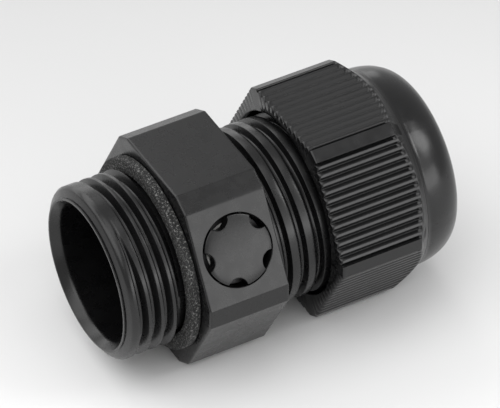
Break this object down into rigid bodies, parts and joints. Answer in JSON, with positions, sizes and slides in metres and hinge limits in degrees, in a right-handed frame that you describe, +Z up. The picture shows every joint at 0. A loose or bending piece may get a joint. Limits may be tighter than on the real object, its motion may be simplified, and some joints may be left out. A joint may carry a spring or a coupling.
{
  "type": "cable gland",
  "caption": "Plastic cable gland on its side: threaded entry with flat gasket, hexagon with a notched vent cap, coarse-threaded neck and a ribbed hexagonal dome nut.",
  "frame": {"origin": "on the gland's axis at mid-length, the centre of the whole object's box", "axes": "+X along the axis from the entry nose to the dome; +Z up, square to two opposite flats of the hexagons; the vent faces -Y and up"},
  "size_m": [0.0416, 0.0268, 0.024],
  "materials": {
    "black_nylon": "satin, fine moulded texture",
    "black_nylon_nut": "satin ribs, glossy dome",
    "cage_nylon": "satin",
    "gasket_fibre": "rough, pale speckles",
    "elastomer": "matt",
    "membrane_film": "matt, porous"
  },
  "bodies": {
    "root": {"gland_body": "black_nylon", "entry_gasket": "gasket_fibre", "vent_cap": "black_nylon", "vent_support": "black_nylon", "vent_seal_ring": "elastomer", "vent_membrane": "membrane_film", "clamp_ring": "cage_nylon"},
    "seal": {"seal_insert": "elastomer"},
    "nut": {"dome_nut": "black_nylon_nut"},
    "finger_01": {"clamp_finger_01": "cage_nylon"},
    "finger_02": {"clamp_finger_02": "cage_nylon"},
    "finger_03": {"clamp_finger_03": "cage_nylon"},
    "finger_04": {"clamp_finger_04": "cage_nylon"},
    "finger_05": {"clamp_finger_05": "cage_nylon"},
    "finger_06": {"clamp_finger_06": "cage_nylon"},
    "finger_07": {"clamp_finger_07": "cage_nylon"},
    "finger_08": {"clamp_finger_08": "cage_nylon"},
    "finger_09": {"clamp_finger_09": "cage_nylon"},
    "finger_10": {"clamp_finger_10": "cage_nylon"},
    "finger_11": {"clamp_finger_11": "cage_nylon"},
    "finger_12": {"clamp_finger_12": "cage_nylon"}
  },
  "joints": [
    {"name": "nut_travel", "type": "slide", "parent": "root", "child": "seal", "axis": [-1, 0, 0], "range_m": [0, 0.00505], "deforming": ["seal_insert"]},
    {"name": "nut_turn", "type": "hinge", "parent": "seal", "child": "nut", "pos_m": [0, 0, 0], "axis": [-1, 0, 0], "range_deg": [0, 900]},
    {"name": "finger_01_bend", "type": "hinge", "parent": "root", "child": "finger_01", "pos_m": [0.0097, -0.00223, 0.00831], "axis": [0, 0.9659, 0.2588], "range_deg": [0, 21.2]},
    {"name": "finger_02_bend", "type": "hinge", "parent": "root", "child": "finger_02", "pos_m": [0.0097, -0.00608, 0.00608], "axis": [0, 0.7071, 0.7071], "range_deg": [0, 21.2]},
    {"name": "finger_03_bend", "type": "hinge", "parent": "root", "child": "finger_03", "pos_m": [0.0097, -0.00831, 0.00223], "axis": [0, 0.2588, 0.9659], "range_deg": [0, 21.2]},
    {"name": "finger_04_bend", "type": "hinge", "parent": "root", "child": "finger_04", "pos_m": [0.0097, -0.00831, -0.00223], "axis": [0, -0.2588, 0.9659], "range_deg": [0, 21.2]},
    {"name": "finger_05_bend", "type": "hinge", "parent": "root", "child": "finger_05", "pos_m": [0.0097, -0.00608, -0.00608], "axis": [0, -0.7071, 0.7071], "range_deg": [0, 21.2]},
    {"name": "finger_06_bend", "type": "hinge", "parent": "root", "child": "finger_06", "pos_m": [0.0097, -0.00223, -0.00831], "axis": [0, -0.9659, 0.2588], "range_deg": [0, 21.2]},
    {"name": "finger_07_bend", "type": "hinge", "parent": "root", "child": "finger_07", "pos_m": [0.0097, 0.00223, -0.00831], "axis": [0, -0.9659, -0.2588], "range_deg": [0, 21.2]},
    {"name": "finger_08_bend", "type": "hinge", "parent": "root", "child": "finger_08", "pos_m": [0.0097, 0.00608, -0.00608], "axis": [0, -0.7071, -0.7071], "range_deg": [0, 21.2]},
    {"name": "finger_09_bend", "type": "hinge", "parent": "root", "child": "finger_09", "pos_m": [0.0097, 0.00831, -0.00223], "axis": [0, -0.2588, -0.9659], "range_deg": [0, 21.2]},
    {"name": "finger_10_bend", "type": "hinge", "parent": "root", "child": "finger_10", "pos_m": [0.0097, 0.00831, 0.00223], "axis": [0, 0.2588, -0.9659], "range_deg": [0, 21.2]},
    {"name": "finger_11_bend", "type": "hinge", "parent": "root", "child": "finger_11", "pos_m": [0.0097, 0.00608, 0.00608], "axis": [0, 0.7071, -0.7071], "range_deg": [0, 21.2]},
    {"name": "finger_12_bend", "type": "hinge", "parent": "root", "child": "finger_12", "pos_m": [0.0097, 0.00223, 0.00831], "axis": [0, 0.9659, -0.2588], "range_deg": [0, 21.2]}
  ],
  "couplings": [
    {"joint": "nut_travel", "follows": "nut_turn", "m_per_rad": 0.00031831},
    {"joint": "finger_01_bend", "follows": "nut_turn", "ratio": 0.023333},
    {"joint": "finger_02_bend", "follows": "nut_turn", "ratio": 0.023333},
    {"joint": "finger_03_bend", "follows": "nut_turn", "ratio": 0.023333},
    {"joint": "finger_04_bend", "follows": "nut_turn", "ratio": 0.023333},
    {"joint": "finger_05_bend", "follows": "nut_turn", "ratio": 0.023333},
    {"joint": "finger_06_bend", "follows": "nut_turn", "ratio": 0.023333},
    {"joint": "finger_07_bend", "follows": "nut_turn", "ratio": 0.023333},
    {"joint": "finger_08_bend", "follows": "nut_turn", "ratio": 0.023333},
    {"joint": "finger_09_bend", "follows": "nut_turn", "ratio": 0.023333},
    {"joint": "finger_10_bend", "follows": "nut_turn", "ratio": 0.023333},
    {"joint": "finger_11_bend", "follows": "nut_turn", "ratio": 0.023333},
    {"joint": "finger_12_bend", "follows": "nut_turn", "ratio": 0.023333}
  ]
}
